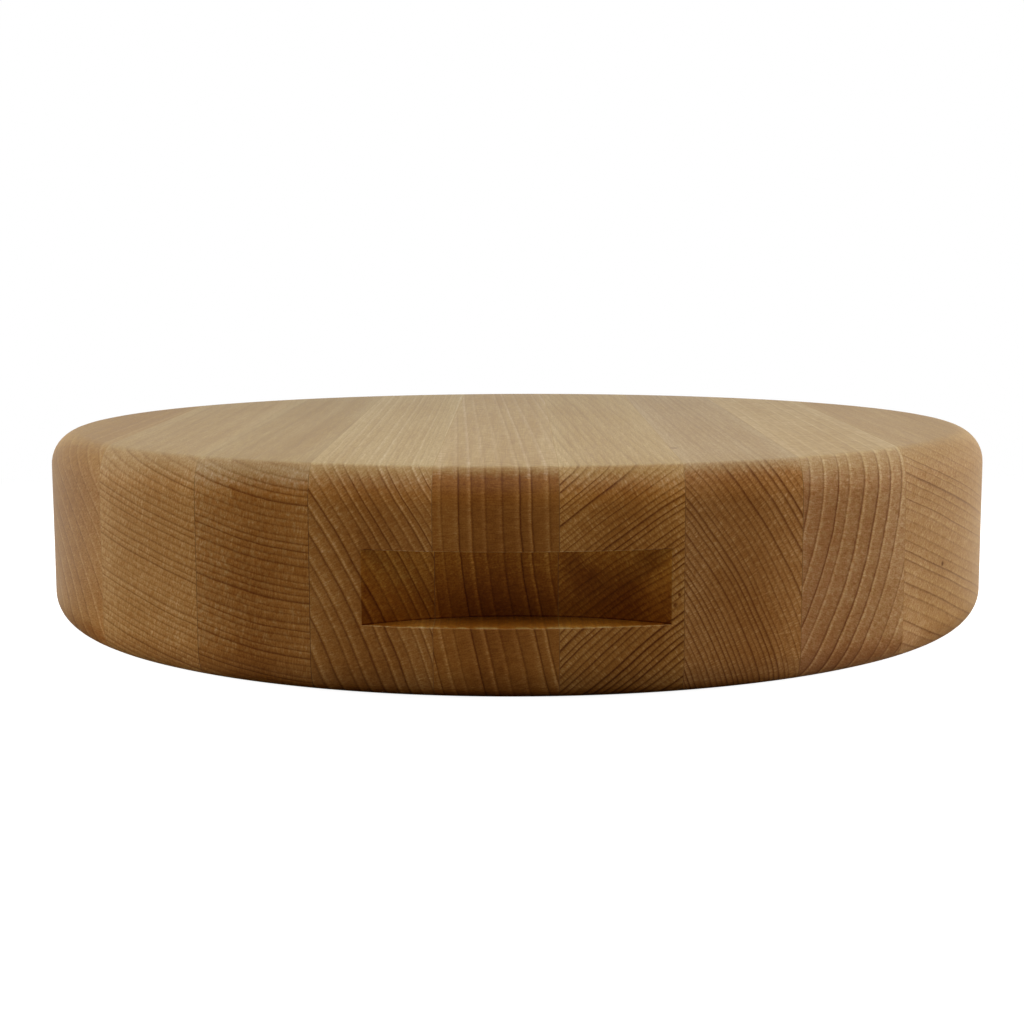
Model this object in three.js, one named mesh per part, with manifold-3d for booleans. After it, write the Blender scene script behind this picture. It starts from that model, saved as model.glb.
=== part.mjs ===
// Round laminated chopping block: nine staves glued edge to edge, turned to a disc with rounded
// rims, and milled at the front and the back with a crescent finger grip.
// Millimetres, +Z up. The origin is the centre of the underside, and the front grip faces -Y.

import * as THREE from "three";
import { mergeVertices } from "three/addons/utils/BufferGeometryUtils.js";
import Module from "manifold-3d";

// Turned disc
const DIAMETER = 381;
const THICKNESS = 76.2;
const EDGE_RADIUS = 12.7;

// Lay-up: neighbouring joints lie one stave width apart, and the two outer staves run on to the rim
const STAVE_COUNT = 9;
const STAVE_WIDTH = 40.8;
const MIDDLE_STAVE_X = -6.7; // where the middle stave is centred across the width
const GLUE_FILM = 0.2;

// Finger grips: each is one pass of a wide disc cutter, which leaves a flat roof and a flat floor
const GRIP_DEPTH = 21.8;
const GRIP_HEIGHT = 24.8;
const GRIP_DROP = 0.9; // how far the middle of the grip lies below the middle of the wall
const GRIP_CUTTER_RADIUS = 92.7;
const LIP_BREAK = 0.4; // sanded bevel along the grip's two long edges

// Smoothness of the round forms
const RIM_SEGMENTS = 144;
const EDGE_SEGMENTS = 6;
const CUTTER_SEGMENTS = 120;

// How far a cutting solid stands clear of the disc where it does not shape it
const OVERCUT = 10;

// Oiled hardwood, one tone for each stave from left to right, and the cured adhesive
const STAVE_TONES = [
  "#a98158",
  "#b38b57",
  "#a67d4c",
  "#ac8250",
  "#a87a4a",
  "#a57c48",
  "#a17345",
  "#b08258",
  "#bb9064",
];
const WOOD_ROUGHNESS = 0.55;
const GLUE_TONE = "#6b4a28";
const GLUE_ROUGHNESS = 0.4;

const RADIUS = DIAMETER / 2;
const GRIP_MIDDLE = THICKNESS / 2 - GRIP_DROP;

const wasm = await Module();
wasm.setup();

// A closed geometry as a solid that can be cut
function solidOf(geometry) {
  geometry.deleteAttribute("normal");
  geometry.deleteAttribute("uv");
  const merged = mergeVertices(geometry);
  return new wasm.Manifold(
    new wasm.Mesh({
      numProp: 3,
      vertProperties: merged.attributes.position.array,
      triVerts: Uint32Array.from(merged.index.array),
    }),
  );
}

// A cut solid as a named mesh with a finish of its own
function meshOf(name, solid, color, roughness) {
  const { vertProperties, triVerts } = solid.getMesh();
  const geometry = new THREE.BufferGeometry();
  geometry.setAttribute("position", new THREE.BufferAttribute(vertProperties, 3));
  geometry.setIndex(new THREE.BufferAttribute(triVerts, 1));
  geometry.computeVertexNormals();
  const finish = new THREE.MeshStandardMaterial({ color, roughness, metalness: 0 });
  const mesh = new THREE.Mesh(geometry, finish);
  mesh.name = name;
  return mesh;
}

// The disc as it leaves the lathe: flat faces, an upright wall and a quarter round at each rim
function turnedDisc() {
  const flatRadius = RADIUS - EDGE_RADIUS;
  const lowerRim = [];
  for (let step = 0; step <= EDGE_SEGMENTS; step += 1) {
    const angle = (step / EDGE_SEGMENTS) * (Math.PI / 2);
    const out = flatRadius + EDGE_RADIUS * Math.sin(angle);
    const rise = EDGE_RADIUS * (1 - Math.cos(angle));
    lowerRim.push(new THREE.Vector2(out, rise));
  }
  const upperRim = lowerRim.map((point) => new THREE.Vector2(point.x, THICKNESS - point.y)).reverse();
  const profile = [new THREE.Vector2(0, 0), ...lowerRim, ...upperRim, new THREE.Vector2(0, THICKNESS)];
  return solidOf(new THREE.LatheGeometry(profile, RIM_SEGMENTS).rotateX(Math.PI / 2));
}

// The space that a disc cutter of the given height sweeps at the front (side -1) or the back (side 1)
function cutterSweep(side, height) {
  const cutter = new THREE.CylinderGeometry(GRIP_CUTTER_RADIUS, GRIP_CUTTER_RADIUS, height, CUTTER_SEGMENTS);
  const cutterCentre = RADIUS - GRIP_DEPTH + GRIP_CUTTER_RADIUS;
  cutter.rotateX(Math.PI / 2);
  cutter.translate(0, side * cutterCentre, GRIP_MIDDLE);
  return solidOf(cutter);
}

// A ring round the disc whose sloping sides bevel the wall above the grip's roof and below its floor
function lipRing() {
  const half = GRIP_HEIGHT / 2;
  const profile = [
    new THREE.Vector2(RADIUS - LIP_BREAK, GRIP_MIDDLE - half),
    new THREE.Vector2(RADIUS + OVERCUT, GRIP_MIDDLE - half - LIP_BREAK - OVERCUT),
    new THREE.Vector2(RADIUS + OVERCUT, GRIP_MIDDLE + half + LIP_BREAK + OVERCUT),
    new THREE.Vector2(RADIUS - LIP_BREAK, GRIP_MIDDLE + half),
    new THREE.Vector2(RADIUS - LIP_BREAK, GRIP_MIDDLE - half),
  ];
  return solidOf(new THREE.LatheGeometry(profile, RIM_SEGMENTS).rotateX(Math.PI / 2));
}

// One finger grip: the cutter's pass, with the bevel kept to the width of the grip
function gripCut(side) {
  const bevel = lipRing().intersect(cutterSweep(side, GRIP_HEIGHT + 2 * LIP_BREAK));
  return cutterSweep(side, GRIP_HEIGHT).add(bevel);
}

// Everything to the left of an upright plane at x
function leftOf(x) {
  const farLeft = -RADIUS - OVERCUT;
  const half = new THREE.BoxGeometry(x - farLeft, DIAMETER + 2 * OVERCUT, THICKNESS + 2 * OVERCUT);
  half.translate((x + farLeft) / 2, 0, THICKNESS / 2);
  return solidOf(half);
}

// Where joint number k crosses the width, counted from the left
function jointAt(k) {
  return MIDDLE_STAVE_X + (k - STAVE_COUNT / 2) * STAVE_WIDTH;
}

const block = new THREE.Group();
let uncut = turnedDisc().subtract(gripCut(-1)).subtract(gripCut(1));

// The next piece off the left of the disc: one cut makes both faces of a joint, so they always meet
function takeLeftOf(x) {
  const side = leftOf(x);
  const piece = uncut.intersect(side);
  uncut = uncut.subtract(side);
  return piece;
}

for (let k = 1; k < STAVE_COUNT; k += 1) {
  const stave = takeLeftOf(jointAt(k) - GLUE_FILM / 2);
  const glue = takeLeftOf(jointAt(k) + GLUE_FILM / 2);
  block.add(meshOf(`stave_${k}`, stave, STAVE_TONES[k - 1], WOOD_ROUGHNESS));
  block.add(meshOf(`glue_line_${k}`, glue, GLUE_TONE, GLUE_ROUGHNESS));
}
block.add(meshOf(`stave_${STAVE_COUNT}`, uncut, STAVE_TONES[STAVE_COUNT - 1], WOOD_ROUGHNESS));

export default block;
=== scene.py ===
"""Round laminated chopping block: oiled hardwood staves and their glue lines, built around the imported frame.

Lengths are metres, +Z is up, and the front finger grip faces -Y. Every stave is a solid piece of wood cut
from its own place in a tree: growth rings run round a pith that lies along Y, so the front and back walls
show end grain, and the faces and the sides show long grain.
"""

import math

import bmesh
import bpy
import numpy as np
from bpy.props import CollectionProperty, FloatProperty, FloatVectorProperty, PointerProperty
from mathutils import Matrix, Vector


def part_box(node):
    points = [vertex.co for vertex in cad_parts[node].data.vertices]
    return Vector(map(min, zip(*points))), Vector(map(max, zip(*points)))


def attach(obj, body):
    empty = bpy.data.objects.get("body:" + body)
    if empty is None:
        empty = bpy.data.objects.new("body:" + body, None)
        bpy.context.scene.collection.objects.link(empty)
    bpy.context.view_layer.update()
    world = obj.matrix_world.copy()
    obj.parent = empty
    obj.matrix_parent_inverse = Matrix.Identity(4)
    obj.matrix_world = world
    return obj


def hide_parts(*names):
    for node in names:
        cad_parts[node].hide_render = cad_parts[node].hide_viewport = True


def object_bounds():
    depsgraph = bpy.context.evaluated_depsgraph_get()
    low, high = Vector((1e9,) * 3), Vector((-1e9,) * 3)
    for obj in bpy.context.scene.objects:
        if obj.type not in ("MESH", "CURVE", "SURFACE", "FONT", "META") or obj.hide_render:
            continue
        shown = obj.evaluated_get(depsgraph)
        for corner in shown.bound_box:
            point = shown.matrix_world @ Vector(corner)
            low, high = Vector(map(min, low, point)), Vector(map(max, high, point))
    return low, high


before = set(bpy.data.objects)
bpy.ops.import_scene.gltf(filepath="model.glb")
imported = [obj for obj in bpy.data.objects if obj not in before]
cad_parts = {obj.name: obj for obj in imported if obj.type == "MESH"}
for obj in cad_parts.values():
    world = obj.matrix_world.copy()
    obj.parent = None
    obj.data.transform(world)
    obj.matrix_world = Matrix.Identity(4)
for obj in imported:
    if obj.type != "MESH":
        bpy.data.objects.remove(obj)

bl_info = {
    "name": "Laminated chopping block",
    "version": (1, 0, 0),
    "blender": (4, 5, 0),
    "location": "View3D > Sidebar > Chopping block",
    "description": "Builds the staves, the glue lines and the studio of a round chopping block",
    "category": "Object",
}

# Sizes that come from the frame
CAD_LOW, CAD_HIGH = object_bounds()
RADIUS = (CAD_HIGH[0] - CAD_LOW[0]) / 2
THICKNESS = CAD_HIGH[2] - CAD_LOW[2]
STAVE_COUNT = sum(name.startswith("stave_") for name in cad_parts)

# Details of the surfaces
STAVE_STEPS = 28  # across one inner stave
GLUE_STEPS = 1  # across one glue film
TURN_STEPS = 72  # round one outer stave
FACE_STEPS = 6  # from the middle of a face to its rim
EDGE_STEPS = 12  # round one rim
LIP_STEPS = 4  # round one lip of a grip
GRIP_STEPS = 6  # along each side of a grip's section
WELD = 2e-6  # points nearer than this are one point
CREASE = math.radians(28)
FLOOR_WEAR_AND_HIGHLIGHT = 0.1  # sanded wear and painted highlight of a grip's lower lip beside its upper lip

PLAIN_HUE = (1.0, 1.0)  # green and blue of plain wood beside the others
PLAIN_SOAK = (0.3, 1.0)  # slopes between which plain wood soaks


# Values that a user would change

class BlockSizes(bpy.types.PropertyGroup):
    """Sizes of the turned and milled forms."""

    edge_radius: FloatProperty(
        name="Edge radius", description="Radius of both rounded rims", default=0.0127, unit="LENGTH")
    grip_depth: FloatProperty(
        name="Grip depth", description="Depth of a finger grip at its middle", default=0.0218, unit="LENGTH")
    grip_height: FloatProperty(
        name="Grip height", description="Height of a finger grip", default=0.0248, unit="LENGTH")
    grip_drop: FloatProperty(
        name="Grip drop", description="How far a grip's middle lies below the wall's middle",
        default=0.0009, unit="LENGTH")
    grip_cutter_radius: FloatProperty(
        name="Cutter radius", description="Radius of the disc cutter that mills a grip",
        default=0.0927, unit="LENGTH")
    lip_radius: FloatProperty(
        name="Lip radius", description="Sanded round along the edges of a grip",
        default=0.0004, unit="LENGTH")


class StaveGrain(bpy.types.PropertyGroup):
    """How one stave was cut from its tree."""

    pith_x: FloatProperty(
        name="Pith across", description="Where the rings are centred, along X", unit="LENGTH")
    pith_z: FloatProperty(
        name="Pith height", description="Where the rings are centred, along Z", unit="LENGTH")
    gap_near: FloatProperty(
        name="Near gap", description="Width of a ring where the stave is nearest to the pith",
        default=0.003, unit="LENGTH")
    gap_far: FloatProperty(
        name="Far gap", description="Width of a ring where the stave is farthest from the pith",
        default=0.003, unit="LENGTH")
    lean: FloatProperty(name="Lean", description="How far the pith drifts along X for each metre of Y")
    tone: FloatProperty(
        name="End tone", description="Brightness of the end grain beside the others", default=1.0)
    face: FloatProperty(
        name="Face tone", description="Brightness of the long grain beside the others", default=1.0)
    late_wood: FloatProperty(name="Late wood", description="Strength of the dark ring lines", default=1.0)
    early_wood: FloatProperty(name="Early wood", description="Strength of the pale ring lines", default=1.0)
    early_width: FloatProperty(
        name="Early width", description="Width of a pale ring line", default=0.001, unit="LENGTH")
    hue: FloatVectorProperty(
        name="Hue", description="Green and blue of the end grain beside the others",
        default=PLAIN_HUE, size=2)
    face_hue: FloatVectorProperty(
        name="Face hue", description="Green and blue of the long grain beside the others",
        default=PLAIN_HUE, size=2)
    # On the outer staves the drift across is painted shade, darker towards their outer edge
    drift: FloatVectorProperty(
        name="Drift", description="How much the end grain brightens from left to right and from foot to top",
        default=(0.0, 0.0), size=2)
    soak: FloatVectorProperty(
        name="Soak", description="Slopes across the fibres between which the rim gets as dark as the wall",
        default=PLAIN_SOAK, size=2)
    rays: FloatProperty(name="Rays", description="Strength of the pale rays", default=0.8)
    # Painted sheen on the upper rim: above 1 it turns the rim towards white
    rim_sheen_blue: FloatProperty(
        name="Rim blue", description="Blue of the handled upper rim beside other end grain", default=1.0)
    sealed: FloatProperty(
        name="Sealed", description="How far glue keeps oil out of the fibres beside a joint", default=1.0)


class WoodFinish(bpy.types.PropertyGroup):
    """Colours of the oiled wood and of the cured glue."""

    long_grain: FloatVectorProperty(
        name="Long grain", description="Wood cut along its fibres", default=(0.395, 0.246, 0.087),
        subtype="COLOR", min=0, max=1)
    end_grain: FloatVectorProperty(
        name="End grain", description="Wood cut across its fibres, where it drinks the most oil",
        default=(0.276, 0.1115, 0.0208), subtype="COLOR", min=0, max=1)
    late_line: FloatProperty(
        name="Late line", description="What a dark ring line leaves of the wood's brightness", default=0.3)
    early_line: FloatProperty(
        name="Early line", description="What a pale ring line makes of the wood's brightness", default=1.42)
    ray_line: FloatProperty(
        name="Ray line", description="What a ray makes of the wood's brightness", default=1.3)
    knot: FloatProperty(
        name="Pin knot", description="What a pin knot leaves of the wood's brightness", default=0.4)
    # Sanded wear, and a painted highlight along the middle of a grip's rounded lip
    worn: FloatProperty(
        name="Worn lip", description="What sanding makes of the brightness of a grip's lip", default=1.6)
    # Partly the warm cutter's own colour, partly painted light that lifts the whole grip
    milled: FloatVectorProperty(
        name="Milled wood", description="What the warm cutter makes of the wood's colour in a grip",
        default=(1.48, 1.47, 0.95), subtype="COLOR", min=0, max=3)
    # Painted shade at the ends of a grip's lips, by the tips
    lip_end_shade: FloatProperty(
        name="Lip end", description="What the cutter leaves of the wood's brightness at the ends of a lip",
        default=0.5)
    scorch: FloatProperty(
        name="Scorch", description="What a burn leaves of the wood's brightness", default=0.63)
    glue: FloatVectorProperty(
        name="Glue", description="Cured adhesive in a joint", default=(0.11, 0.048, 0.014),
        subtype="COLOR", min=0, max=1)
    roughness: FloatProperty(
        name="Roughness", description="Roughness of the oiled surface", default=0.45, subtype="FACTOR")
    gloss: FloatProperty(
        name="Gloss", description="Specular level of the oiled surface", default=0.09, subtype="FACTOR")


class Studio(bpy.types.PropertyGroup):
    """The light and the camera."""

    top_power: FloatProperty(
        name="Top light", description="Power of the soft light overhead", default=12.4, unit="POWER")
    left_power: FloatProperty(
        name="Left light", description="Power of the soft light at the left", default=10.7, unit="POWER")
    right_power: FloatProperty(
        name="Right light", description="Power of the soft light at the right", default=13.5, unit="POWER")
    front_power: FloatProperty(
        name="Front light", description="Power of the soft light at the front", default=2.4, unit="POWER")
    under_power: FloatProperty(
        name="Under light", description="Power of the soft light below the floor", default=9.0, unit="POWER")
    room_light: FloatProperty(
        name="Room light", description="Strength of the even light of the room", default=0.11)
    camera_distance: FloatProperty(
        name="Camera distance", description="From the block's axis to the camera, along Y",
        default=0.7633, unit="LENGTH")
    camera_height: FloatProperty(
        name="Camera height", description="Height of the camera over the underside",
        default=0.1378, unit="LENGTH")
    camera_offset: FloatProperty(
        name="Camera offset", description="How far the camera stands off the block's axis along X",
        default=0.0006, unit="LENGTH")
    camera_dip: FloatProperty(
        name="Camera dip", description="How far the camera looks down",
        default=math.radians(7.47), subtype="ANGLE")
    camera_swing: FloatProperty(
        name="Camera swing", description="How far the camera looks to the left of straight back",
        default=math.radians(0.18), subtype="ANGLE")
    camera_roll: FloatProperty(
        name="Camera roll", description="How far the camera leans to its right",
        default=math.radians(0.19), subtype="ANGLE")
    lens: FloatProperty(name="Lens", description="Focal length", default=63.8, unit="CAMERA")


# How the staves were cut, from left to right
STAVE_CUTS = (
    dict(pith_x=-0.298, pith_z=-0.038, gap_near=0.0055, gap_far=0.0045, lean=0.01, tone=0.58, face=0.86,
         late_wood=0.5, early_wood=0.9, early_width=0.0013, hue=(0.985, 0.97), face_hue=(0.98, 0.94),
         rays=0.5, drift=(0.75, -0.22)),
    dict(pith_x=0.027, pith_z=0.546, gap_near=0.0028, gap_far=0.002, lean=-0.014, tone=1.16, face=0.97,
         late_wood=0.65, early_wood=0.4, hue=(1.01, 1.1), face_hue=(1.03, 1.1), rays=0.6, rim_sheen_blue=1.25,
         drift=(0.06, 0.03), sealed=0.3),
    dict(pith_x=-0.051, pith_z=0.241, gap_near=0.0027, gap_far=0.0021, lean=0.012, tone=0.94, face=0.92,
         late_wood=0.7, early_wood=0.4, hue=(0.95, 0.89), face_hue=(1.06, 1.16), rays=0.6, rim_sheen_blue=1.35,
         drift=(0.04, 0.14), soak=(0.5, 1.0)),
    dict(pith_x=-0.233, pith_z=-0.055, gap_near=0.0052, gap_far=0.0019, lean=-0.008, tone=0.99, face=1.09,
         late_wood=0.8, early_wood=1.0, early_width=0.0013, hue=(0.96, 0.94), face_hue=(1.02, 1.03),
         rays=0.5, drift=(0.12, 0.13)),
    dict(pith_x=0.2033, pith_z=0.065, gap_near=0.0052, gap_far=0.0044, lean=-0.036, tone=0.88, face=1.04,
         late_wood=0.7, early_wood=1.1, early_width=0.0018, hue=(0.92, 0.74), face_hue=(1.0, 1.02),
         rays=0.5, drift=(-0.09, 0.0), soak=(0.3, 0.75)),
    dict(pith_x=0.1485, pith_z=-0.125, gap_near=0.0024, gap_far=0.0017, lean=-0.05, tone=1.075, face=1.05,
         late_wood=1.0, early_wood=0.3, hue=(0.955, 0.83), face_hue=(1.01, 1.01), drift=(-0.03, 0.28),
         soak=(0.4, 1.0)),
    dict(pith_x=-0.071, pith_z=-0.041, gap_near=0.0016, gap_far=0.0023, lean=-0.012, tone=1.06, face=1.0,
         late_wood=0.8, early_wood=0.3, hue=(1.0, 1.23), face_hue=(1.04, 1.25), drift=(0.05, -0.04),
         soak=(0.3, 0.75)),
    dict(pith_x=-0.012, pith_z=0.076, gap_near=0.0048, gap_far=0.0056, lean=0.008, tone=1.035, face=1.14,
         late_wood=0.8, early_wood=1.1, early_width=0.0013, hue=(1.03, 1.75), face_hue=(0.99, 1.02),
         rays=0.3, rim_sheen_blue=1.15, drift=(-0.1, 0.04), soak=(0.4, 1.0), sealed=0.2),
    dict(pith_x=-0.008, pith_z=-0.255, gap_near=0.0042, gap_far=0.0021, lean=0.01, tone=1.0, face=0.97,
         late_wood=0.7, early_wood=0.3, hue=(1.17, 2.12), face_hue=(0.99, 1.06), rays=0.5, rim_sheen_blue=1.15,
         drift=(-0.36, -0.04)),
)

# Pin knots and dark specks: stave, place and radius
PIN_KNOTS = (
    (6, (0.0514, -0.1834, 0.0312), 0.0012),
    (6, (0.0528, -0.183, 0.0345), 0.0009),
    (7, (0.056, -0.1195, THICKNESS), 0.0022),
    (9, (0.1547, -0.1112, 0.0329), 0.0016),
)

# Burns that the cutter left in the front grip: stave, middle and radius
BURNS = (
    (6, (0.017, -0.1703, 0.0465), 0.0095),
    (6, (0.022, -0.1713, 0.039), 0.0105),
    (6, (0.037, -0.1764, 0.0335), 0.021),
    (6, (0.044, -0.1798, 0.0455), 0.008),
)

# Brightness of the glue in each joint, from left to right
GLUE_TONES = (2.2, 0.9, 0.7, 1.7, 1.6, 1.5, 1.4, 2.2)


# Surfaces

def steps(count):
    """Even shares from 0 to 1, as a column."""
    return np.linspace(0.0, 1.0, count + 1)[:, None]


def grip_levels(sizes):
    """Heights of a grip's floor and roof."""
    middle = THICKNESS / 2 - sizes.grip_drop
    return middle - sizes.grip_height / 2, middle + sizes.grip_height / 2


def rim_curve(sizes):
    """Distance from the axis and drop from the face, step by step round one rim."""
    turn = steps(EDGE_STEPS) * math.pi / 2
    flat = RADIUS - sizes.edge_radius
    return flat + sizes.edge_radius * np.sin(turn), sizes.edge_radius * (1 - np.cos(turn))


def section_half(x, sizes):
    """Front half of the block's section at each x, from the top's middle to the underside's middle.

    Each rim is a quarter circle of the edge radius swept round the axis, and the wall stands at
    sqrt(radius^2 - x^2). The grip steps in from the wall to the cutter's circle where that lies inside.
    Returns y, z, the milled share and the lips' wear and painted highlight, with a row for every point of the
    section.
    """
    reach, drop = rim_curve(sizes)
    face_y = -steps(FACE_STEPS) * np.sqrt(reach[0] ** 2 - x**2)
    rim_y = -np.sqrt(reach**2 - x**2)

    wall = -np.sqrt(RADIUS**2 - x**2)
    centre = RADIUS - sizes.grip_depth + sizes.grip_cutter_radius
    cut = np.sqrt(np.maximum(sizes.grip_cutter_radius**2 - x**2, 0)) - centre
    depth = np.maximum(cut - wall, 0)
    ease = np.minimum(sizes.lip_radius, depth / 2)
    floor, roof = grip_levels(sizes)
    bend = steps(LIP_STEPS) * math.pi / 2
    lip_y = wall + ease * (1 - np.cos(bend))
    lip_z = ease * (1 - np.sin(bend))
    # sanded wear and a painted highlight, brightest in the middle of the lip's round
    lip_wear_and_highlight = np.sin(2 * bend)
    run = steps(GRIP_STEPS)
    roof_y = wall + ease + run * (depth - ease)
    back_y = wall + depth + 0 * roof_y

    blocks = (
        (face_y, THICKNESS, 0.0, 0.0),
        (rim_y, THICKNESS - drop, 0.0, 0.0),
        (lip_y, roof + lip_z, 0.0, lip_wear_and_highlight),
        (roof_y, roof, 1.0, 0.0),
        (back_y, roof + run * (floor - roof), 1.0, 0.0),
        (roof_y[::-1], floor, 1.0, 0.0),
        (lip_y[::-1], floor - lip_z[::-1], 0.0, FLOOR_WEAR_AND_HIGHLIGHT * lip_wear_and_highlight),
        (rim_y[::-1], drop[::-1], 0.0, 0.0),
        (face_y[::-1], 0.0, 0.0, 0.0),
    )
    spread = [[np.broadcast_to(part, block[0].shape) for part in block] for block in blocks]
    y, z, milled, worn = map(np.concatenate, zip(*spread))
    return y, z, milled * (depth > 0), worn * (depth > 0)


def grid_faces(rows, columns, first=0, closed=False):
    """Four-sided faces between neighbouring rows and columns of a grid of points."""
    count = rows if closed else rows - 1
    row = np.arange(count)[:, None] * columns
    after = (np.arange(count)[:, None] + 1) % rows * columns
    column = np.arange(columns - 1)[None, :]
    corners = np.stack([row + column, row + column + 1, after + column + 1, after + column], axis=-1)
    return (first + corners.reshape(-1, 4)).tolist()


def grip_tip(sizes):
    """How far from the middle a grip's tips lie: where the cutter's circle crosses the wall's."""
    centre = RADIUS - sizes.grip_depth + sizes.grip_cutter_radius
    tip_y = (RADIUS**2 - sizes.grip_cutter_radius**2 + centre**2) / (2 * centre)
    return math.sqrt(RADIUS**2 - tip_y**2)


def slice_between(x_low, x_high, count, sizes):
    """A slice of the block between two upright planes: its section, carried along X, with closed ends.

    The grip's two tips get a column of their own, so that its mouth ends in a clean point.
    """
    x = np.linspace(x_low, x_high, count + 1)
    tips = grip_tip(sizes) * np.array([-1, 1])
    x = np.union1d(x, tips[(tips > x_low) & (tips < x_high)])
    y, z, milled, worn = section_half(x, sizes)
    y = np.concatenate([y, -y[-2:0:-1]])
    z, milled, worn = [np.concatenate([part, part[-2:0:-1]]) for part in (z, milled, worn)]
    rows, columns = y.shape
    points = np.stack([np.broadcast_to(x, y.shape), y, z], axis=-1).reshape(-1, 3)
    loop = np.arange(rows) * columns
    ends = [loop.tolist(), (loop[::-1] + columns - 1).tolist()]
    faces = grid_faces(rows, columns, closed=True) + ends
    return points, faces, {"milled": milled.ravel(), "worn": worn.ravel()}


def outer_slice(x_joint, sizes):
    """The block beyond an upright plane: rims and wall turned about Z, flats spread from plane to rim.

    At each height the wall turns from the plane at the front to the plane at the back.
    """
    rim_reach, rim_rise = rim_curve(sizes)
    reach = np.concatenate([rim_reach, rim_reach[::-1]])
    height = np.concatenate([rim_rise, THICKNESS - rim_rise[::-1]])
    side = math.copysign(1.0, x_joint)
    start = np.arcsin(abs(x_joint) / reach)
    round_share = steps(TURN_STEPS).T
    angle = start + round_share * (math.pi - 2 * start)
    wall = np.stack([side * reach * np.sin(angle), -reach * np.cos(angle), height + 0 * angle], axis=-1)

    spread = steps(FACE_STEPS)
    flats = []
    for ring in (wall[0], wall[-1]):
        x = x_joint + spread * (ring[:, 0] - x_joint)
        flats.append(np.stack([x, ring[:, 1] + 0 * x, ring[:, 2] + 0 * x], axis=-1))

    points = np.concatenate([part.reshape(-1, 3) for part in (wall, *flats)])
    rows, columns = angle.shape
    under = rows * columns
    top = under + (FACE_STEPS + 1) * columns
    faces = grid_faces(rows, columns)
    faces += grid_faces(FACE_STEPS + 1, columns, under)
    faces += grid_faces(FACE_STEPS + 1, columns, top)
    front_edge = np.arange(rows) * columns
    chord = np.arange(columns)
    joint = [front_edge, top + chord, front_edge[::-1] + columns - 1, under + chord[::-1]]
    return points, faces + [np.concatenate(joint).tolist()], {}


def add_object(name, data):
    """A new object in the scene."""
    thing = bpy.data.objects.new(name, data)
    bpy.context.scene.collection.objects.link(thing)
    return thing


def make_piece(name, surface, finish, node):
    """A closed, smooth piece that rides on the block and stands for one node of the frame."""
    points, faces, shares = surface
    mesh = bpy.data.meshes.new(name)
    mesh.from_pydata(points.tolist(), [], faces)
    for key, share in shares.items():
        mesh.attributes.new(key, "FLOAT", "POINT").data.foreach_set("value", share.astype(np.float32))
    welded = bmesh.new()
    welded.from_mesh(mesh)
    bmesh.ops.remove_doubles(welded, verts=welded.verts, dist=WELD)
    bmesh.ops.recalc_face_normals(welded, faces=welded.faces)
    welded.to_mesh(mesh)
    welded.free()
    mesh.shade_smooth()
    mesh.set_sharp_from_angle(angle=CREASE)
    mesh.materials.append(finish)
    piece = add_object(name, mesh)
    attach(piece, "root")
    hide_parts(node)


# Materials

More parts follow.
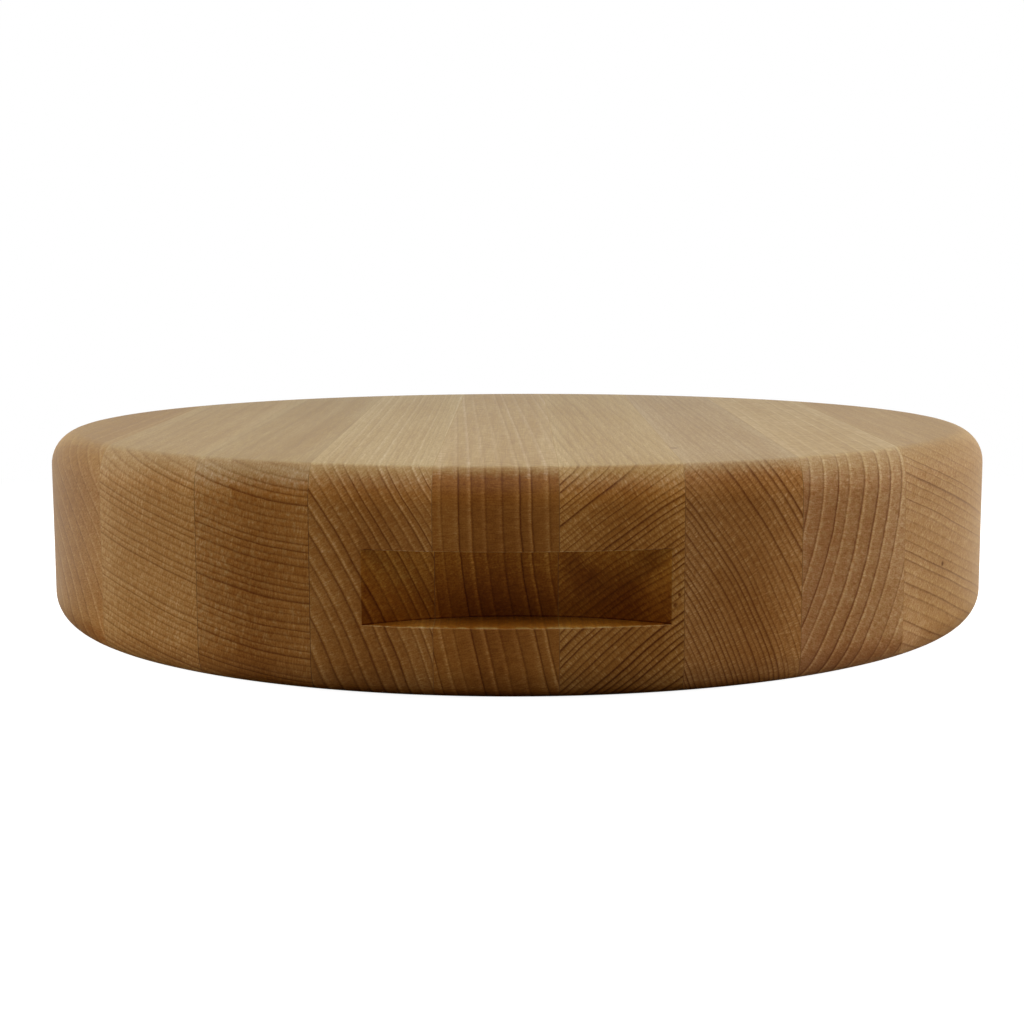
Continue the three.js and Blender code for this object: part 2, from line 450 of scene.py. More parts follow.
class Recipe:
    """The nodes of a material or a world, worked out from the inside to the surface."""

    def __init__(self, owner):
        owner.use_nodes = True
        self.owner = owner
        self.tree = owner.node_tree
        self.tree.nodes.clear()

    def node(self, kind, inputs=None, **settings):
        """A node with its settings, and with each named or numbered input set or linked."""
        node = self.tree.nodes.new(kind)
        for key, value in settings.items():
            setattr(node, key, value)
        for key, value in (inputs or {}).items():
            if isinstance(value, bpy.types.NodeSocket):
                self.tree.links.new(value, node.inputs[key])
            else:
                node.inputs[key].default_value = value
        return node

    def math(self, operation, first, second=0.0, third=0.0):
        """One step of arithmetic."""
        return self.node("ShaderNodeMath", {0: first, 1: second, 2: third}, operation=operation).outputs[0]

    def product(self, first, *others):
        """Several values multiplied."""
        for other in others:
            first = self.math("MULTIPLY", first, other)
        return first

    def rest(self, share):
        """What a share leaves of the whole."""
        return self.math("SUBTRACT", 1.0, share)

    def between(self, share, low, high):
        """The low value where the share is 0, the high one where it is 1."""
        return self.math("MULTIPLY_ADD", share, high - low, low)

    def vary(self, noise, amount, middle=1.0):
        """A value that follows a noise, from about middle - amount to middle + amount."""
        return self.between(noise, middle - amount, middle + amount)

    def smooth(self, value, low, high):
        """A soft step: 0 below low, 1 above high, or the other way round when low is the larger."""
        inputs = {"Value": value, "From Min": low, "From Max": high}
        return self.node("ShaderNodeMapRange", inputs, interpolation_type="SMOOTHSTEP").outputs[0]

    def place(self):
        """Position on the piece, in metres."""
        return self.node("ShaderNodeTexCoord").outputs["Object"]

    def split(self, vector):
        """The three parts of a vector."""
        return self.node("ShaderNodeSeparateXYZ", {0: vector}).outputs

    def join(self, x, y, z):
        """A vector from its three parts."""
        return self.node("ShaderNodeCombineXYZ", {0: x, 1: y, 2: z}).outputs[0]

    def noise(self, place, cell, seed, detail=2.0):
        """Soft noise from 0 to 1 whose cells have the given sizes along X, Y and Z."""
        inputs = {"Vector": place, "Location": (seed, seed, seed), "Scale": [1 / size for size in cell]}
        mapped = self.node("ShaderNodeMapping", inputs).outputs[0]
        inputs = {"Vector": mapped, "Scale": 1.0, "Detail": detail}
        return self.node("ShaderNodeTexNoise", inputs).outputs[0]

    def grade(self, tone):
        """The factor of grade() for a brightness that changes from place to place."""
        return self.join(tone, self.math("POWER", tone, GREEN_FALL), self.math("POWER", tone, BLUE_FALL))

    def blend(self, share, first, second, way="MIX"):
        """The first colour where the share is 0, the second where it is 1."""
        inputs = {0: share, 6: first, 7: second}
        return self.node("ShaderNodeMix", inputs, data_type="RGBA", blend_type=way).outputs[2]

    def tint(self, colour, *tints):
        """The colour, multiplied by each factor as far as its share says."""
        for share, factor in tints:
            colour = self.blend(share, colour, factor, "MULTIPLY")
        return colour

    def glow(self, strength):
        """A white shader that gives light of its own."""
        return self.node("ShaderNodeEmission", {"Strength": strength}).outputs[0]

    def choose(self, share, first, second):
        """The first shader where the share is 0, the second where it is 1."""
        return self.node("ShaderNodeMixShader", {0: share, 1: first, 2: second}).outputs[0]

    def finish(self, inputs):
        """The surface itself."""
        shader = self.node("ShaderNodeBsdfPrincipled", inputs)
        self.node("ShaderNodeOutputMaterial", {"Surface": shader.outputs[0]})
        return self.owner


GREEN_FALL = 1.5  # how much faster than red the green of wood falls as it gets darker
BLUE_FALL = 2.5


def opaque(colour):
    """A colour with its alpha."""
    return (*colour, 1.0)


def grade(tone, blue=1.0):
    """What a change of brightness makes of the colour of oiled wood: the darker, the more saturated.

    Wood with more blue of its own loses and gains less of it.
    """
    return opaque((tone, tone**GREEN_FALL, tone ** (BLUE_FALL / math.sqrt(blue))))


def shade(colour, tone, hue):
    """The colour of a stave that is brighter or darker than the others, and greener or bluer."""
    return opaque(part * factor * own for part, factor, own in zip(colour, grade(tone), (1.0, *hue)))


# Rings
RING_WANDER = 0.001  # how far rings stray from true circles
RING_WANDER_CELL = (0.03, 0.28, 0.03)
RING_RIPPLE = 0.00015
RING_RIPPLE_CELL = (0.005, 0.09, 0.005)
RING_RUN = 2.6  # rings over which good and lean years change
RING_JITTER = 0.5  # rings by which they shift the count
RING_END_WIDTH = 0.0003  # over which a dark line gives way to a pale one
LATE_LINE_WIDTH = 0.001
LATE_LINE = 0.75  # late wood in the line at a ring's end
LATE_SLOPE = 0.35  # late wood that builds up within a ring
LATE_YEARS = (0.4, 1.1)  # late wood of the poorest and the richest year
EARLY_YEARS = (0.3, 1.0)
LATE_UNEVEN = 0.6  # how far fine rays break up the dark lines
LATE_RELIEF = 0.5  # depth of the dark lines beside the height of the fibres
FACE_LATE = 0.2  # strength of the dark ring lines on long grain beside end grain
FACE_PALE = 0.28  # strength of the pale ring lines and rays there

# Rays, fibres, streaks and clouds: their cells, and how far they change the brightness
RAY_CELL = (0.0005, 0.002, 0.0035)
RAY_STEP = (0.5, 0.72)  # levels of the noise between which a ray comes in
FINE_RAY_CELL = (0.0004, 0.002, 0.0028)
FINE_RAY_VARY = 0.3
FIBRE_CELL = (0.0005, 0.016, 0.0005)
FIBRE_VARY = 0.4
STREAK_CELL = (0.0028, 0.34, 0.0028)
STREAK_VARY = 0.13
CLOUD_CELL = (0.018, 0.11, 0.018)
CLOUD_VARY = 0.16
FACE_FIBRE = 0.72  # contrast of fibres, streaks and clouds on long grain beside end grain
FIBRE_ROUGHNESS = 0.08
BUMP_STRENGTH = 0.12
BUMP_HEIGHT = 0.0003

# Oil, with a painted sheen on the upper rim, painted light along Y and painted shade at the foot
RIM_SHARE = 0.35  # end grain that shows as soon as the surface leaves the fibres' line
RIM_STEP = (0.12, 0.32)  # slopes across the fibres between which it comes in
RAGGED_CELL = (0.0014, 0.006, 0.0014)
RAGGED = 0.35  # how unevenly the end grain starts at the rim
RAGGED_LATE = 0.08  # how much sooner it starts on a dark ring line
RIM_LIFT = (0.15, 0.55)  # upward slopes between which the upper rim's painted sheen comes in
RIM_CROSS = (0.12, 0.5)  # slopes across the fibres between which the painted sheen shows there
RIM_SHEEN_TONE = 0.96  # brightness of the upper rim under its painted sheen
RIM_GREEN = 0.25  # power of the rim's blue that its green follows
MILLED_SOAK = 0.9  # how far milled wood drinks oil as end grain does
SEAL_REACH = 0.0204  # how far from a joint the glue still keeps oil out
SEAL_GAIN = 0.1  # how much paler end grain is at a joint, and darker away from it
FACE_SEAL_REACH = 0.0075  # the same on long grain
FACE_SEAL_GAIN = 0.08
FACE_LIGHT_FALLOFF = 0.08  # painted light: how much paler long grain is at the front rim, and darker behind
FOOT_SHADE = 0.45  # painted shade: brightness left at the foot of the wall, near the floor
FOOT_SHADE_HEIGHT = 0.006
FOOT_SHADE_SPAN = (0.75 * RADIUS, 0.95 * RADIUS)  # distances along Y between which the painted dark foot comes in

# Grips and marks: what is left of the brightness, and where; inside a grip this is painted shade
GRIP_FOOT_SHADE = 0.52  # painted shade at the foot of the back wall
GRIP_SEAM_SHADE = 0.42  # painted shade in the corner between the floor and the back wall
GRIP_SEAM_HEIGHT = 0.0007
GRIP_TIP_SHADE = 0.72  # painted shade where the back wall runs out at the tips
GRIP_TIP_REACH = 0.008
GRIP_FLOOR_SHADE = 0.79  # painted shade on the floor and the roof
FLOOR_TIP_SHADE = 0.55  # painted shade where the floor and the roof run out at the tips
FLOOR_TIP_REACH = 0.02
GRIP_UPRIGHT = 0.4  # share of end grain from which milled wood is the back wall
LIP_END_REACH = 0.012  # over which a grip's pale lip gives way to painted shade at its ends
CUTTER_CELL = (0.0007, 0.0014, 0.0007)
CUTTER_VARY = 0.3
SCORCH_CELL = (0.003, 0.02, 0.0016)
SCORCH_VARY = 0.6
BURN_CORE = 0.0  # share of a burn's radius within which it is full
BURN_HIDES = 0.45  # how far a burnt grip hides the dark ring lines
KNOT_CORE = 0.2

# Glue
GLUE_CELL = (0.004, 0.012, 0.006)
GLUE_VARY = 0.4
GLUE_ROUGHNESS = (0.35, 0.45)  # of black glue, and of glue of its own colour

# How far the noises of neighbouring pieces lie apart
STAVE_SEED = 11.0
GLUE_SEED = 3.0


class Wood(Recipe):
    """The material of one stave, with the shares that its colour is worked out from.

    end_share says how far the fibres are cut across, milled how far a cutter went over them, worn how
    far a lip is sanded and painted bright, and soak_and_shade how far they drank oil, with the lower rim's
    painted shade.
    """

    def __init__(self, name, cut, low, high, seed):
        super().__init__(bpy.data.materials.new(name))
        self.cut, self.low, self.high, self.seed = cut, low, high, seed
        self.spot = self.place()
        self.x, self.y, self.z = self.split(self.spot)
        distance, bearing, count = ring_field(self)
        late, self.early = ring_lines(self, count)

        ragged = self.vary(self.noise(self.spot, RAGGED_CELL, seed), RAGGED)
        self.end_share = end_grain_share(self, cut.soak, ragged, late)
        self.milled = self.node("ShaderNodeAttribute", attribute_name="milled").outputs["Fac"]
        self.worn = self.node("ShaderNodeAttribute", attribute_name="worn").outputs["Fac"]
        self.soak_and_shade = self.math("MAXIMUM", self.end_share, self.product(self.milled, MILLED_SOAK))

        self.ray_place = self.join(bearing, self.y, distance)
        rays = self.smooth(self.noise(self.ray_place, RAY_CELL, seed, detail=1.0), *RAY_STEP)
        self.rays = self.product(rays, cut.rays)
        self.fine_rays = self.noise(self.ray_place, FINE_RAY_CELL, seed, detail=1.0)
        self.fibres = self.noise(self.spot, FIBRE_CELL, seed)
        self.late = self.product(late, self.vary(self.fine_rays, LATE_UNEVEN))


def ring_field(wood):
    """Distance from the pith, the way round it, and the count of rings up to there.

    The distance is the length of (x, z) from the pith, which leans along Y, plus two soft noises. Ring
    widths change evenly from gap_near to gap_far: the count is log(1 + k (distance - near) / gap_near) / k.
    """
    cut, low, high = wood.cut, wood.low, wood.high
    across = wood.math("SUBTRACT", wood.x, wood.math("MULTIPLY_ADD", wood.y, cut.lean, cut.pith_x))
    up = wood.math("SUBTRACT", wood.z, cut.pith_z)
    square = wood.math("MULTIPLY_ADD", across, across, wood.product(up, up))
    distance = wood.math("SQRT", square)
    for amount, cell in ((RING_WANDER, RING_WANDER_CELL), (RING_RIPPLE, RING_RIPPLE_CELL)):
        stray = wood.vary(wood.noise(wood.spot, cell, wood.seed, detail=1.0), amount, 0.0)
        distance = wood.math("ADD", distance, stray)

    corners = [(x, z) for x in (low[0], high[0]) for z in (low[2], high[2])]
    reaches = [math.hypot(x - cut.pith_x, z - cut.pith_z) for x, z in corners]
    near, far = min(reaches), max(reaches)
    growth = (cut.gap_far - cut.gap_near) / (far - near)
    grown = wood.product(wood.math("SUBTRACT", distance, near), growth / cut.gap_near)
    logarithm = wood.math("LOGARITHM", wood.math("ADD", grown, 1.0), math.e)
    count = wood.math("DIVIDE", logarithm, growth)
    inputs = {"W": count, "Scale": 1 / RING_RUN, "Detail": 1.0}
    years = wood.node("ShaderNodeTexNoise", inputs, noise_dimensions="1D").outputs[0]
    count = wood.math("ADD", count, wood.vary(years, RING_JITTER, 0.0))
    bearing = wood.product(wood.math("ARCTAN2", up, across), (near + far) / 2)
    return distance, bearing, count


def ring_lines(wood, count):
    """Shares of late and early wood in each ring: pale at first, slowly darker, with a line at its end."""
    cut = wood.cut
    gap = (cut.gap_near + cut.gap_far) / 2
    ring_end = RING_END_WIDTH / gap
    ring = wood.math("FLOOR", count)
    inside = wood.math("SUBTRACT", count, ring)
    inputs = {"W": wood.math("ADD", ring, wood.seed)}
    year = wood.node("ShaderNodeTexWhiteNoise", inputs, noise_dimensions="1D").outputs[0]

    line = wood.smooth(inside, 1 - LATE_LINE_WIDTH / gap, 1 - ring_end)
    slope = wood.math("POWER", inside, 2.0)
    late = wood.math("MULTIPLY_ADD", slope, LATE_SLOPE, wood.product(line, LATE_LINE))
    over = wood.smooth(inside, 1.0, 1 - ring_end)
    late = wood.product(late, over, wood.between(year, *LATE_YEARS), cut.late_wood)

    early = wood.smooth(inside, cut.early_width / gap, ring_end)
    begun = wood.smooth(inside, 0.0, ring_end)
    early = wood.product(early, begun, wood.between(year, *EARLY_YEARS), cut.early_wood)
    return late, early


def end_grain_share(recipe, soak, ragged=1.0, late=0.0):
    """How far the surface shows end grain: a quick step off the fibres' line, then a rise within soak.

    Painted shade: the lower rim counts as if it were steeper. The start is uneven by ragged, and sooner on
    late wood.
    """
    _, along, up = recipe.split(recipe.node("ShaderNodeNewGeometry").outputs["Normal"])
    # painted shade: surfaces that face down count as steeper, so darker
    downward_shade = recipe.rest(recipe.math("MINIMUM", up, 0.0))
    slope = recipe.product(recipe.math("ABSOLUTE", along), downward_shade)
    slope = recipe.math("MULTIPLY_ADD", slope, ragged, recipe.product(late, RAGGED_LATE))
    rim = recipe.product(recipe.smooth(slope, *RIM_STEP), RIM_SHARE)
    return recipe.math("MULTIPLY_ADD", recipe.smooth(slope, *soak), 1 - RIM_SHARE, rim)


def rim_sheen_share(recipe):
    """How far the surface takes the upper rim's painted sheen: it faces up and along Y."""
    _, along, up = recipe.split(recipe.node("ShaderNodeNewGeometry").outputs["Normal"])
    crossed = recipe.smooth(recipe.math("ABSOLUTE", along), *RIM_CROSS)
    return recipe.product(recipe.smooth(up, *RIM_LIFT), crossed)


def joint_nearness(wood, reach):
    """How near the joints are, where glue keeps the oil out: 1 at a joint, 0 beyond the reach."""
    nearness = 0.0
    for joint, inward in ((wood.low[0], reach), (wood.high[0], -reach)):
        if RADIUS - abs(joint) > WELD:
            nearness = wood.math("MAXIMUM", nearness, wood.smooth(wood.x, joint + inward, joint))
    return nearness


def drift_tone(wood):
    """Brightness of end grain that changes evenly across a stave and up it, round 1 at its middle."""
    # On the outer staves the drift across is painted shade, darker towards their outer edge
    left, right = wood.low[0], wood.high[0]
    across, upward = wood.cut.drift
    width = right - left
    level = 1 - across * (left + right) / (2 * width) - upward / 2
    tone = wood.math("MULTIPLY_ADD", wood.x, across / width, level)
    return wood.math("MULTIPLY_ADD", wood.z, upward / THICKNESS, tone)


def foot_painted_shade(recipe, y, z):
    """Brightness at the foot of the front and the back: painted shade near the floor."""
    facing = recipe.smooth(recipe.math("ABSOLUTE", y), *FOOT_SHADE_SPAN)
    # share of the painted shade: at the front and the back, and low down
    soak_and_shade = recipe.product(facing, recipe.smooth(z, FOOT_SHADE_HEIGHT, 0.0))
    return recipe.between(soak_and_shade, 1.0, FOOT_SHADE)


def grip_painted_shade(wood, sizes):
    """Painted shade inside a grip: at the back wall's foot, in the corner, at the tips, and on floor and roof.
    """
    floor, roof = grip_levels(sizes)
    tip = grip_tip(sizes)
    aside = wood.math("ABSOLUTE", wood.x)
    wall = wood.product(
        wood.between(wood.smooth(wood.z, floor, roof), GRIP_FOOT_SHADE, 1.0),
        wood.between(wood.smooth(wood.z, floor, floor + GRIP_SEAM_HEIGHT), GRIP_SEAM_SHADE, 1.0),
        wood.between(wood.smooth(aside, tip, tip - GRIP_TIP_REACH), GRIP_TIP_SHADE, 1.0),
    )
    run = wood.smooth(aside, tip, tip - FLOOR_TIP_REACH)
    level = wood.between(run, GRIP_FLOOR_SHADE * FLOOR_TIP_SHADE, GRIP_FLOOR_SHADE)
    upright = wood.smooth(wood.end_share, 0.0, GRIP_UPRIGHT)
    return wood.math("MULTIPLY_ADD", upright, wood.math("SUBTRACT", wall, level), level)


def spots(wood, marks, core):
    """Shares of round marks, each full within its core and gone at its radius."""
    for centre, radius in marks:
        ends = {0: wood.spot, 1: centre}
        away = wood.node("ShaderNodeVectorMath", ends, operation="DISTANCE").outputs["Value"]
        yield wood.smooth(away, radius, core * radius)


def oiled_colour(wood, look):
    """Colour of a stave without its lines: fibres, streaks and clouds, what oil did, and painted sheen, light
    and shade.
    """
    cut = wood.cut
    tone = wood.product(
        wood.vary(wood.fibres, FIBRE_VARY),
        wood.vary(wood.fine_rays, FINE_RAY_VARY),
        wood.vary(wood.noise(wood.spot, STREAK_CELL, wood.seed, detail=3.0), STREAK_VARY),
        wood.vary(wood.noise(wood.spot, CLOUD_CELL, wood.seed), CLOUD_VARY),
    )
    gain = cut.sealed * SEAL_GAIN
    end_tone = wood.between(joint_nearness(wood, SEAL_REACH), 1 - gain, 1 + gain)
    face_tone = wood.between(joint_nearness(wood, FACE_SEAL_REACH), 1.0, 1 + FACE_SEAL_GAIN)
    face_share = wood.rest(wood.end_share)
    rim_sheen = (RIM_SHEEN_TONE, RIM_SHEEN_TONE * cut.rim_sheen_blue**RIM_GREEN, RIM_SHEEN_TONE * cut.rim_sheen_blue)
    long_grain = shade(look.long_grain, cut.face, cut.face_hue)
    end_grain = shade(look.end_grain, cut.tone, cut.hue)
    return wood.tint(
        wood.blend(wood.soak_and_shade, long_grain, end_grain),
        (wood.between(wood.soak_and_shade, FACE_FIBRE, 1.0), wood.grade(tone)),
        (wood.end_share, wood.grade(end_tone)),
        (face_share, wood.grade(face_tone)),
        # painted light that falls off from front to back on long grain
        (face_share, wood.math("MULTIPLY_ADD", wood.y, -FACE_LIGHT_FALLOFF / RADIUS, 1.0)),
        (wood.end_share, drift_tone(wood)),
        # painted shade at the foot of the wall
        (wood.end_share, wood.grade(foot_painted_shade(wood, wood.y, wood.z))),
        # painted sheen on the upper rim
        (rim_sheen_share(wood), opaque(rim_sheen)),
    )


def lined_colour(wood, colour, look, knots):
    """The colour with pale and dark ring lines, rays and pin knots."""
    blue = wood.cut.hue[1]
    pale_contrast = wood.between(wood.end_share, FACE_PALE, 1.0)
    late_contrast = wood.between(wood.end_share, FACE_LATE, 1.0)
    return wood.tint(
        colour,
        (wood.product(wood.early, pale_contrast), grade(look.early_line, blue)),
        (wood.product(wood.late, late_contrast), grade(look.late_line, blue)),
        (wood.product(wood.rays, pale_contrast), grade(look.ray_line, blue)),
        *((share, grade(look.knot)) for share in spots(wood, knots, KNOT_CORE)),
    )


def grip_colour(wood, colour, look, sizes, burns):
    """The colour of a grip: sanded lips with a painted highlight, painted light and shade, torn wood and
    burns.
    """
    tip = grip_tip(sizes)
    run_out = wood.smooth(wood.math("ABSOLUTE", wood.x), tip - LIP_END_REACH, tip)
    torn = wood.vary(wood.noise(wood.spot, CUTTER_CELL, wood.seed), CUTTER_VARY)
    uneven = wood.vary(wood.noise(wood.ray_place, SCORCH_CELL, wood.seed), SCORCH_VARY)
    rough = wood.product(wood.milled, uneven)
    return wood.tint(
        colour,
        # the lip's sanded wear and painted highlight
        (wood.product(wood.worn, wood.rest(run_out)), grade(look.worn)),
        # painted shade at the lip's ends, by the grip's tips
        (wood.product(wood.worn, run_out), grade(look.lip_end_shade)),
        # the cutter's colour, with painted light that lifts the grip
        (wood.milled, opaque(look.milled)),
        # painted shade inside the grip
        (wood.milled, wood.grade(grip_painted_shade(wood, sizes))),
        (wood.milled, wood.grade(torn)),
        *((wood.product(share, rough), grade(look.scorch)) for share in spots(wood, burns, BURN_CORE)),
    )


def wood_finish(number, cut, look, sizes, low, high):
    """Oiled hardwood with its grain, darker and stronger where the fibres are cut across."""
    wood = Wood(f"oiled_wood_{number}", cut, low, high, STAVE_SEED * number)
    knots, burns = ([mark[1:] for mark in marks if mark[0] == number] for marks in (PIN_KNOTS, BURNS))
    if burns:
        wood.late = wood.product(wood.late, wood.between(wood.milled, 1.0, 1 - BURN_HIDES))
    colour = oiled_colour(wood, look)
    colour = lined_colour(wood, colour, look, knots)
    colour = grip_colour(wood, colour, look, sizes, burns)
    relief = wood.math("SUBTRACT", wood.fibres, wood.product(wood.late, LATE_RELIEF))
    inputs = {"Height": relief, "Strength": BUMP_STRENGTH, "Distance": BUMP_HEIGHT}
    return wood.finish({
        "Base Color": colour,
        "Roughness": wood.vary(wood.fibres, FIBRE_ROUGHNESS, look.roughness),
        "Specular IOR Level": look.gloss,
        "Normal": wood.node("ShaderNodeBump", inputs).outputs[0],
    })


def glue_finish(number, tone, look):
    """Cured adhesive: amber brown, uneven along the joint, and on long grain as pale as the wood there."""
    recipe = Recipe(bpy.data.materials.new(f"cured_glue_{number}"))
    place = recipe.place()
    _, y, z = recipe.split(place)
    uneven = recipe.vary(recipe.noise(place, GLUE_CELL, GLUE_SEED * number), GLUE_VARY)
    # the glue's foot gets the same painted shade as the wood's
    uneven = recipe.product(uneven, tone, foot_painted_shade(recipe, y, z))
    glue = recipe.tint(opaque(look.glue), (1.0, uneven))
    pale = shade(look.long_grain, 1 + FACE_SEAL_GAIN, PLAIN_HUE)
    return recipe.finish({
        "Base Color": recipe.blend(end_grain_share(recipe, PLAIN_SOAK), pale, glue),
        "Roughness": recipe.between(uneven, *GLUE_ROUGHNESS),
        "Specular IOR Level": look.gloss,
    })


# Operators

class BLOCK_OT_staves(bpy.types.Operator):
    """Make the staves, each with a grain of its own"""

    bl_idname = "chopping_block.staves"
    bl_label = "Staves"

    def execute(self, context):
        scene = context.scene
        sizes = scene.block_sizes
        for number, cut in enumerate(scene.stave_grains, 1):
            node = f"stave_{number}"
            low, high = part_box(node)
            if number == 1:
                surface = outer_slice(high[0], sizes)
            elif number == STAVE_COUNT:
                surface = outer_slice(low[0], sizes)
            else:
                surface = slice_between(low[0], high[0], STAVE_STEPS, sizes)
            finish = wood_finish(number, cut, scene.wood_finish, sizes, low, high)
            make_piece(f"oiled_stave_{number}", surface, finish, node)
        return {"FINISHED"}


class BLOCK_OT_glue_lines(bpy.types.Operator):
    """Make the film of cured glue in each joint"""

    bl_idname = "chopping_block.glue_lines"
    bl_label = "Glue lines"

    def execute(self, context):
        scene = context.scene
        for number, tone in enumerate(GLUE_TONES, 1):
            node = f"glue_line_{number}"
            low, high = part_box(node)
            surface = slice_between(low[0], high[0], GLUE_STEPS, scene.block_sizes)
            finish = glue_finish(number, tone, scene.wood_finish)
            make_piece(f"glue_film_{number}", surface, finish, node)
        return {"FINISHED"}


class BLOCK_OT_studio(bpy.types.Operator):
    """Make the floor, the soft lights, the white room and the camera"""

    bl_idname = "chopping_block.studio"
    bl_label = "Studio"

    def execute(self, context):
        scene = context.scene
        studio = scene.studio
        scene.view_settings.view_transform = "Standard"
        make_floor(scene.block_sizes)
        make_room(scene, studio)
        for side, size, place, target, mirrored in LIGHTS:
            make_light(f"{side}_light", getattr(studio, f"{side}_power"), size, place, target, mirrored)
        make_camera(scene, studio)
        return {"FINISHED"}


# Soft lights: side, width and height, place, the point they face, and whether reflections show them
LIGHTS = (
    ("top", (1.4, 1.4), (0, -0.45, 1.3), (0, 0, 0), True),
    ("front", (1.6, 0.3), (0, -1.6, 0.16), (0, 0, 0.04), False),
    ("left", (0.9, 0.5), (-1.2, 0.2, 0.27), (0, 0, 0.04), False),
    ("right", (0.9, 0.5), (1.2, 0.2, 0.27), (0, 0, 0.04), False),
    ("under", (1.4, 1.4), (0, 0, -1.2), (0, 0, 0), False),
)

# The floor's form
FLOOR_REACH = 5.0
FLOOR_STEPS = 96
FLOOR_GAP = 0.0002  # keeps it just clear of the underside
FLOOR_LAP = 0.002  # how far it reaches under the block's flat

# What the camera sees of the floor
SHADOW_FADE = (1.5 * RADIUS, 3 * RADIUS)  # distances from the axis between which it turns white
SHADOW_GREY = 0.62  # how much light it throws back within them
SHADOW_GLOW = 0.96  # its own light there, except at the contact
CONTACT_REACH = 0.0003  # how near to the block the floor is dark
CONTACT_SAMPLES = 8

# What the floor throws back to the block
FLOOR_GREY = (0.38, 0.86)  # before the block, and beside and behind it
FLOOR_BESIDE = (-1.1 * RADIUS, -0.4 * RADIUS)  # places along Y between which one gives way to the other
FLOOR_ASIDE = (0.25 * RADIUS, 0.7 * RADIUS)  # distances along X between which the front gets paler too
FLOOR_NEAR = (1.6 * RADIUS, RADIUS)  # distances from the axis between which it does so
FLOOR_ASIDE_SHARE = 0.5  # how far it does so

# What reflections show of the floor and the room
MIRROR_LIGHT = 0.9  # how bright both are
FLOOR_MIRROR = (-0.6 * RADIUS, 0.2 * RADIUS)  # places along Y between which the floor comes in
ROOM_MIRROR = (-0.6, -0.1)  # directions along Y between which the room comes in

# The room's light
ROOM_CEILING = (0.15, 0.8)  # directions along Z between which its ceiling comes in
ROOM_LEVELS = (1.25, 0.5)  # its walls and its ceiling, as shares of the room light


def floor_finish():
    """Pale floor, white to the camera but for the block's shadow, and clear from below.

    Before the block, where the camera stands, it is dark in reflections and throws less light back.
    """
    recipe = Recipe(bpy.data.materials.new("pale_floor"))
    x, y, _ = recipe.split(recipe.place())
    reach = recipe.math("SQRT", recipe.math("MULTIPLY_ADD", x, x, recipe.product(y, y)))
    beside = recipe.smooth(y, *FLOOR_BESIDE)
    aside = recipe.product(
        recipe.smooth(recipe.math("ABSOLUTE", x), *FLOOR_ASIDE),
        recipe.smooth(reach, *FLOOR_NEAR),
        recipe.between(beside, FLOOR_ASIDE_SHARE, 0.0),
    )
    grey = recipe.between(recipe.math("ADD", beside, aside), *FLOOR_GREY)
    matt = recipe.node("ShaderNodeBsdfDiffuse", {"Color": grey}).outputs[0]

    inputs = {"Distance": CONTACT_REACH}
    crease = recipe.node("ShaderNodeAmbientOcclusion", inputs, samples=CONTACT_SAMPLES).outputs["AO"]
    glow = recipe.glow(recipe.product(crease, SHADOW_GLOW))
    inputs = {"Color": opaque([SHADOW_GREY] * 3)}
    pale = recipe.node("ShaderNodeBsdfDiffuse", inputs).outputs[0]
    lit = recipe.node("ShaderNodeAddShader", {0: pale, 1: glow}).outputs[0]
    shown = recipe.choose(recipe.smooth(reach, *SHADOW_FADE), lit, recipe.glow(1.0))

    mirror = recipe.glow(recipe.product(recipe.smooth(y, *FLOOR_MIRROR), MIRROR_LIGHT))
    path = recipe.node("ShaderNodeLightPath").outputs
    floor = recipe.choose(path["Is Glossy Ray"], matt, mirror)
    floor = recipe.choose(path["Is Camera Ray"], floor, shown)
    clear = recipe.node("ShaderNodeBsdfTransparent").outputs[0]
    under = recipe.node("ShaderNodeNewGeometry").outputs["Backfacing"]
    recipe.node("ShaderNodeOutputMaterial", {"Surface": recipe.choose(under, floor, clear)})
    return recipe.owner


def make_floor(sizes):
    """A flat ring from just under the block's flat to its far edge."""
    turn = steps(FLOOR_STEPS)[:-1] * 2 * math.pi
    reach = np.array([RADIUS - sizes.edge_radius - FLOOR_LAP, FLOOR_REACH])
    x, y = reach * np.cos(turn), reach * np.sin(turn)
    points = np.stack([x, y, 0 * x - FLOOR_GAP], axis=-1).reshape(-1, 3)
    mesh = bpy.data.meshes.new("floor")
    mesh.from_pydata(points.tolist(), [], grid_faces(FLOOR_STEPS, len(reach), closed=True))
    mesh.materials.append(floor_finish())
    piece = add_object("floor", mesh)


def make_room(scene, studio):
    """A white room: a soft light, white to the camera, and in reflections dark where the camera stands."""
    scene.world = bpy.data.worlds.new("white_room")
    recipe = Recipe(scene.world)
    path = recipe.node("ShaderNodeLightPath").outputs
    _, along, up = recipe.split(recipe.node("ShaderNodeTexCoord").outputs["Generated"])
    behind = recipe.product(recipe.smooth(along, *ROOM_MIRROR), MIRROR_LIGHT)
    mirrored = recipe.product(path["Is Glossy Ray"], behind)
    walls, ceiling = (share * studio.room_light for share in ROOM_LEVELS)
    level = recipe.between(recipe.smooth(up, *ROOM_CEILING), walls, ceiling)
    light = recipe.math("MULTIPLY_ADD", recipe.rest(path["Is Glossy Ray"]), level, mirrored)
    seen = recipe.math("MAXIMUM", path["Is Camera Ray"], path["Is Transmission Ray"])
    inputs = {"Color": (1, 1, 1, 1), "Strength": recipe.math("MAXIMUM", seen, light)}
    sky = recipe.node("ShaderNodeBackground", inputs).outputs[0]
    recipe.node("ShaderNodeOutputWorld", {"Surface": sky})


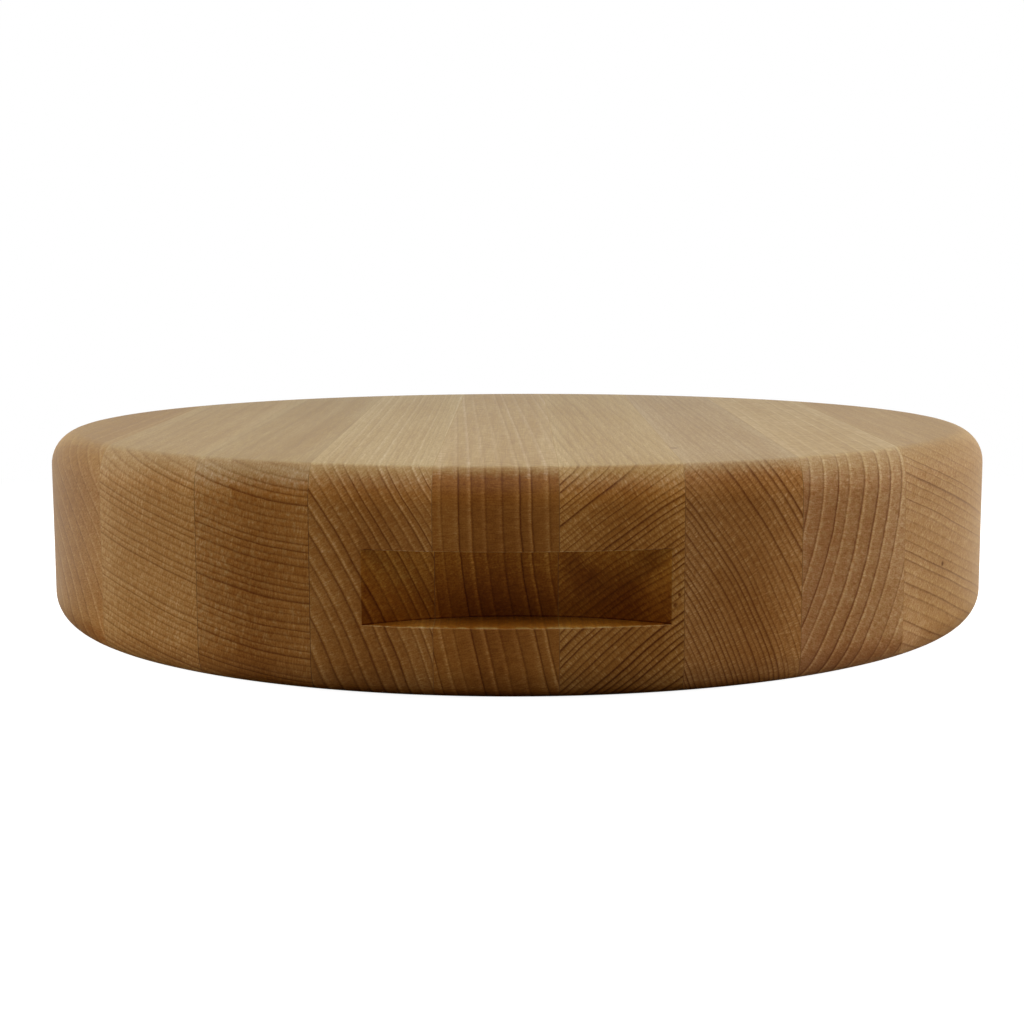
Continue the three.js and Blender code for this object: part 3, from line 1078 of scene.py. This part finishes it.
def make_light(name, power, size, place, target, mirrored):
    """A flat soft light that faces a point, and shows in reflections or not."""
    lamp = bpy.data.lights.new(name, "AREA")
    lamp.shape = "RECTANGLE"
    lamp.energy = power
    lamp.size, lamp.size_y = size
    light = add_object(name, lamp)
    light.location = place
    light.rotation_euler = (Vector(place) - Vector(target)).to_track_quat("Z", "Y").to_euler()
    light.visible_glossy = mirrored


def make_camera(scene, studio):
    """The camera, a little above the block's top and looking slightly down."""
    camera = add_object("camera", bpy.data.cameras.new("camera"))
    camera.data.lens = studio.lens
    camera.location = (studio.camera_offset, -studio.camera_distance, studio.camera_height)
    camera.rotation_euler = (math.pi / 2 - studio.camera_dip, studio.camera_roll, studio.camera_swing)
    scene.camera = camera


class BLOCK_PT_panel(bpy.types.Panel):
    """Lists the steps that build the block"""

    bl_idname = "BLOCK_PT_panel"
    bl_label = "Chopping block"
    bl_space_type = "VIEW_3D"
    bl_region_type = "UI"
    bl_category = "Chopping block"

    def draw(self, context):
        for operator in OPERATORS:
            self.layout.operator(operator.bl_idname)


OPERATORS = (BLOCK_OT_staves, BLOCK_OT_glue_lines, BLOCK_OT_studio)
CLASSES = (BlockSizes, StaveGrain, WoodFinish, Studio, *OPERATORS, BLOCK_PT_panel)


def register():
    for item in CLASSES:
        bpy.utils.register_class(item)
    bpy.types.Scene.block_sizes = PointerProperty(type=BlockSizes)
    bpy.types.Scene.stave_grains = CollectionProperty(type=StaveGrain)
    bpy.types.Scene.wood_finish = PointerProperty(type=WoodFinish)
    bpy.types.Scene.studio = PointerProperty(type=Studio)


def unregister():
    for name in ("studio", "wood_finish", "stave_grains", "block_sizes"):
        delattr(bpy.types.Scene, name)
    for item in reversed(CLASSES):
        bpy.utils.unregister_class(item)


def main():
    register()
    for cut in STAVE_CUTS:
        grain = bpy.context.scene.stave_grains.add()
        for key, value in cut.items():
            setattr(grain, key, value)
    bpy.ops.chopping_block.staves()
    bpy.ops.chopping_block.glue_lines()
    bpy.ops.chopping_block.studio()


if __name__ == "__main__":
    main()
